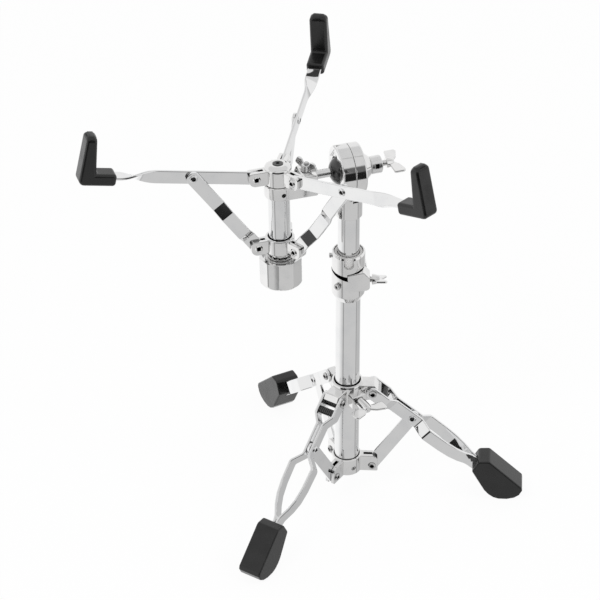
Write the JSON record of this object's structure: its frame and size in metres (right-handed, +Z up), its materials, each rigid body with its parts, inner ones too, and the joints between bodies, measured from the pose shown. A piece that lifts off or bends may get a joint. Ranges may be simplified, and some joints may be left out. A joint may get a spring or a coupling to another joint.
{
  "type": "snare drum stand",
  "caption": "Folding snare drum stand: double-braced tripod, height clamp, ball tilter with offset rod, and a three-armed basket with padded hooks.",
  "frame": {"origin": "on the floor, under the middle of the whole stand's box", "axes": "+Z up along the column, +Y away from the picture's camera, +X to the right in it"},
  "size_m": [0.4492, 0.3396, 0.5026],
  "materials": {
    "chrome": "mirror-bright plating on tube and strip",
    "cast_chrome": "bright plating on slightly uneven castings",
    "steel": "bright zinc",
    "rubber": "moulded, satin",
    "black_plastic": "gloss",
    "nylon": "satin",
    "pale_nylon": "satin"
  },
  "bodies": {
    "column": {"lower_tube": "chrome", "tube_end_plug": "black_plastic", "lower_collar": "cast_chrome", "collar_set_screw": "steel", "collar_pin_right": "steel", "collar_pin_back": "steel", "collar_pin_left": "steel", "clamp_socket": "cast_chrome", "clamp_ring": "cast_chrome", "clamp_end_screw": "steel", "bushing_screw": "steel"},
    "crown": {"leg_crown": "cast_chrome", "crown_pin_right": "steel", "crown_pin_back": "steel", "crown_pin_left": "steel"},
    "leg_right": {"leg_right_strap_a": "chrome", "leg_right_strap_b": "chrome", "leg_right_spacer": "steel", "foot_right": "rubber"},
    "brace_right": {"brace_right": "chrome"},
    "leg_back": {"leg_back_strap_a": "chrome", "leg_back_strap_b": "chrome", "leg_back_spacer": "steel", "foot_back": "rubber"},
    "brace_back": {"brace_back": "chrome"},
    "leg_left": {"leg_left_strap_a": "chrome", "leg_left_strap_b": "chrome", "leg_left_spacer": "steel", "foot_left": "rubber"},
    "brace_left": {"brace_left": "chrome"},
    "crown_screw": {"crown_wing_screw": "cast_chrome"},
    "clamp_screw": {"clamp_wing_screw": "cast_chrome"},
    "bushing": {"tube_bushing": "pale_nylon"},
    "mast": {"upper_tube": "chrome", "tilter_body": "cast_chrome", "tilter_cover": "cast_chrome", "tilter_sleeve": "cast_chrome", "tilter_cup": "nylon"},
    "tilter_screw": {"tilter_wing_screw": "cast_chrome"},
    "ball": {"tilter_ball": "black_plastic"},
    "rod": {"offset_rod": "chrome"},
    "basket": {"offset_casting": "cast_chrome", "basket_hub": "cast_chrome", "hub_cap_screw": "black_plastic", "centre_tube": "chrome", "casting_set_screw": "steel", "rod_clamp_bolt": "steel"},
    "rod_clamp_nut": {"rod_clamp_wing_nut": "cast_chrome"},
    "slider": {"slider": "cast_chrome"},
    "arm_left": {"arm_left": "chrome", "hook_left": "rubber"},
    "strut_left": {"strut_left": "chrome"},
    "arm_right": {"arm_right": "chrome", "hook_right": "rubber"},
    "strut_right": {"strut_right": "chrome"},
    "arm_far": {"arm_far": "chrome", "hook_far": "rubber"},
    "strut_far": {"strut_far": "chrome"},
    "washer": {"thrust_washer": "steel"},
    "nut": {"basket_nut": "cast_chrome"}
  },
  "joints": [
    {"name": "leg_fold", "type": "slide", "parent": "column", "child": "crown", "axis": [0, 0, 1], "range_m": [0, 0.03]},
    {"name": "leg_right_hinge", "type": "hinge", "parent": "crown", "child": "leg_right", "pos_m": [0.06717, -0.01045, 0.131], "axis": [0.0541, 0.9985, 0], "range_deg": [-0.1, 41.2]},
    {"name": "brace_right_hinge", "type": "hinge", "parent": "column", "child": "brace_right", "pos_m": [0.06717, -0.01045, 0.033], "axis": [-0.0541, -0.9985, 0], "range_deg": [-0.1, 27.5]},
    {"name": "leg_back_hinge", "type": "hinge", "parent": "crown", "child": "leg_back", "pos_m": [0.02872, 0.01462, 0.131], "axis": [-0.8918, -0.4524, 0], "range_deg": [-0.1, 41.2]},
    {"name": "brace_back_hinge", "type": "hinge", "parent": "column", "child": "brace_back", "pos_m": [0.02872, 0.01462, 0.033], "axis": [0.8918, 0.4524, 0], "range_deg": [-0.1, 27.5]},
    {"name": "leg_left_hinge", "type": "hinge", "parent": "crown", "child": "leg_left", "pos_m": [0.02623, -0.03122, 0.131], "axis": [0.8377, -0.5461, 0], "range_deg": [-0.1, 41.2]},
    {"name": "brace_left_hinge", "type": "hinge", "parent": "column", "child": "brace_left", "pos_m": [0.02623, -0.03122, 0.033], "axis": [-0.8377, 0.5461, 0], "range_deg": [-0.1, 27.5]},
    {"name": "crown_screw_turn", "type": "hinge", "parent": "crown", "child": "crown_screw", "pos_m": [0.05432, -0.02998, 0.127], "axis": [0.5446, -0.8387, 0], "continuous": true},
    {"name": "clamp_screw_turn", "type": "hinge", "parent": "column", "child": "clamp_screw", "pos_m": [0.0647, -0.01852, 0.2748], "axis": [1, 0, 0], "continuous": true},
    {"name": "mast_swivel", "type": "hinge", "parent": "column", "child": "bushing", "pos_m": [0.0407, -0.00902, 0.29], "axis": [0, 0, 1], "continuous": true},
    {"name": "height_slide", "type": "slide", "parent": "bushing", "child": "mast", "axis": [0, 0, 1], "range_m": [-0.04, 0.13]},
    {"name": "tilter_screw_turn", "type": "hinge", "parent": "mast", "child": "tilter_screw", "pos_m": [0.07609, 0.0018, 0.402], "axis": [0.9563, 0.2924, 0], "continuous": true},
    {"name": "basket_tilt", "type": "hinge", "parent": "mast", "child": "ball", "pos_m": [0.03592, -0.01048, 0.402], "axis": [-0.2924, 0.9563, 0], "range_deg": [-5, 25]},
    {"name": "rod_roll", "type": "hinge", "parent": "ball", "child": "rod", "pos_m": [0.03592, -0.01048, 0.402], "axis": [-0.9563, -0.2924, 0], "range_deg": [-15, 15]},
    {"name": "offset_slide", "type": "slide", "parent": "rod", "child": "basket", "axis": [-0.9563, -0.2924, 0], "range_m": [-0.006, 0.008]},
    {"name": "rod_clamp_nut_turn", "type": "hinge", "parent": "basket", "child": "rod_clamp_nut", "pos_m": [-0.00164, -0.021, 0.41397], "axis": [-0.0224, 0.0734, 0.9971], "continuous": true},
    {"name": "basket_fold", "type": "slide", "parent": "basket", "child": "slider", "axis": [-0.0224, 0.0734, 0.9971], "range_m": [0, 0.0305]},
    {"name": "arm_left_hinge", "type": "hinge", "parent": "basket", "child": "arm_left", "pos_m": [-0.05166, -0.03661, 0.40998], "axis": [-0.2915, 0.9535, -0.0767], "range_deg": [-0.1, 63.4]},
    {"name": "strut_left_hinge", "type": "hinge", "parent": "slider", "child": "strut_left", "pos_m": [-0.04991, -0.04236, 0.33191], "axis": [-0.2915, 0.9535, -0.0767], "range_deg": [-0.1, 26.1]},
    {"name": "arm_right_hinge", "type": "hinge", "parent": "basket", "child": "arm_right", "pos_m": [-0.01219, -0.04567, 0.41153], "axis": [-0.6824, -0.7299, 0.0384], "range_deg": [-0.1, 63.4]},
    {"name": "strut_right_hinge", "type": "hinge", "parent": "slider", "child": "strut_right", "pos_m": [-0.01043, -0.05142, 0.33346], "axis": [-0.6824, -0.7299, 0.0384], "range_deg": [-0.1, 26.1]},
    {"name": "arm_far_hinge", "type": "hinge", "parent": "basket", "child": "arm_far", "pos_m": [-0.024, -0.00703, 0.40842], "axis": [0.9739, -0.2235, 0.0384], "range_deg": [-0.1, 63.4]},
    {"name": "strut_far_hinge", "type": "hinge", "parent": "slider", "child": "strut_far", "pos_m": [-0.02225, -0.01277, 0.33035], "axis": [0.9739, -0.2235, 0.0384], "range_deg": [-0.1, 26.1]},
    {"name": "nut_travel", "type": "slide", "parent": "basket", "child": "washer", "axis": [0.0224, -0.0734, -0.9971], "range_m": [-0.0001, 0.0121]},
    {"name": "nut_turn", "type": "hinge", "parent": "washer", "child": "nut", "pos_m": [-0.02691, -0.03755, 0.30429], "axis": [0.0224, -0.0734, -0.9971], "range_deg": [0, 1440]}
  ],
  "couplings": [
    {"joint": "leg_right_hinge", "follows": "leg_fold", "rad_per_m": 23.911},
    {"joint": "brace_right_hinge", "follows": "leg_fold", "rad_per_m": 15.941},
    {"joint": "leg_back_hinge", "follows": "leg_fold", "rad_per_m": 23.911},
    {"joint": "brace_back_hinge", "follows": "leg_fold", "rad_per_m": 15.941},
    {"joint": "leg_left_hinge", "follows": "leg_fold", "rad_per_m": 23.911},
    {"joint": "brace_left_hinge", "follows": "leg_fold", "rad_per_m": 15.941},
    {"joint": "arm_left_hinge", "follows": "basket_fold", "rad_per_m": 36.223},
    {"joint": "strut_left_hinge", "follows": "basket_fold", "rad_per_m": 14.85},
    {"joint": "arm_right_hinge", "follows": "basket_fold", "rad_per_m": 36.223},
    {"joint": "strut_right_hinge", "follows": "basket_fold", "rad_per_m": 14.85},
    {"joint": "arm_far_hinge", "follows": "basket_fold", "rad_per_m": 36.223},
    {"joint": "strut_far_hinge", "follows": "basket_fold", "rad_per_m": 14.85},
    {"joint": "nut_travel", "follows": "nut_turn", "m_per_rad": 0.00047746}
  ]
}
